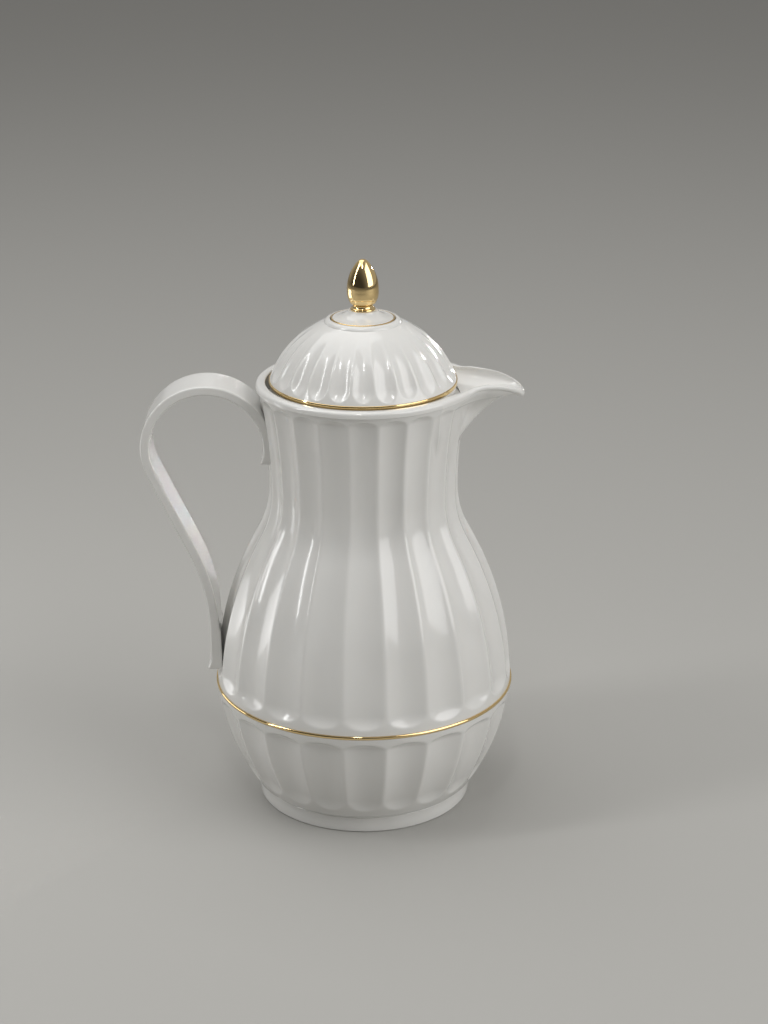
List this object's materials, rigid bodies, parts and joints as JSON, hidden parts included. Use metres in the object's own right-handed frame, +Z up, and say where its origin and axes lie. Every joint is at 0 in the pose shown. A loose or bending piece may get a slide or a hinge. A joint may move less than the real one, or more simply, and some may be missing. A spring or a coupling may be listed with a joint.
{
  "type": "insulated dallah jug",
  "caption": "Fluted dallah-shaped insulated jug with a strap handle, beak spout, glass flask inside and a screw-on dome lid with a push-button pouring valve.",
  "frame": {"origin": "on the jug's axis, in the plane it stands on", "axes": "+Z up along the jug's axis, +X towards the spout, the handle on the -X side"},
  "size_m": [0.1848, 0.1498, 0.2758],
  "materials": {
    "white_plastic": "gloss",
    "gold_trim": "mirror gold plating",
    "silvered_glass": "clear, silvered between the walls",
    "pad_felt": "felt",
    "grey_rubber": "silicone",
    "inner_plastic": "satin",
    "steel": "drawn"
  },
  "bodies": {
    "pot": {"upper_shell": "white_plastic", "base_bowl": "white_plastic", "body_ring": "gold_trim", "handle": "white_plastic", "handle_screws": "steel", "outer_flask": "silvered_glass", "inner_flask": "silvered_glass", "flask_pads": "pad_felt", "base_cushion": "grey_rubber", "support_cup": "inner_plastic", "neck_gasket": "grey_rubber", "throat_collar": "inner_plastic"},
    "seal": {"stopper_gasket": "grey_rubber"},
    "lid": {"lid_dome": "white_plastic", "lid_band": "gold_trim", "stopper_body": "inner_plastic", "button_spring": "steel"},
    "button": {"push_button": "white_plastic", "button_ring": "gold_trim", "finial": "gold_trim", "valve_stem": "steel", "valve_plug": "inner_plastic", "valve_seal": "grey_rubber", "valve_nut": "steel"}
  },
  "joints": [
    {"name": "lid_lift", "type": "slide", "parent": "pot", "child": "seal", "axis": [0, 0, 1], "range_m": [0, 0.06]},
    {"name": "lid_turn", "type": "hinge", "parent": "seal", "child": "lid", "pos_m": [0, 0, 0.2], "axis": [0, 0, 1], "range_deg": [0, 720]},
    {"name": "button_press", "type": "slide", "parent": "lid", "child": "button", "axis": [0, 0, -1], "range_m": [0, 0.004], "stiffness_N_per_m": 600, "springref_m": -0.004, "deforming": ["button_spring"]}
  ],
  "couplings": [
    {"joint": "lid_lift", "follows": "lid_turn", "m_per_rad": 0.004774}
  ]
}
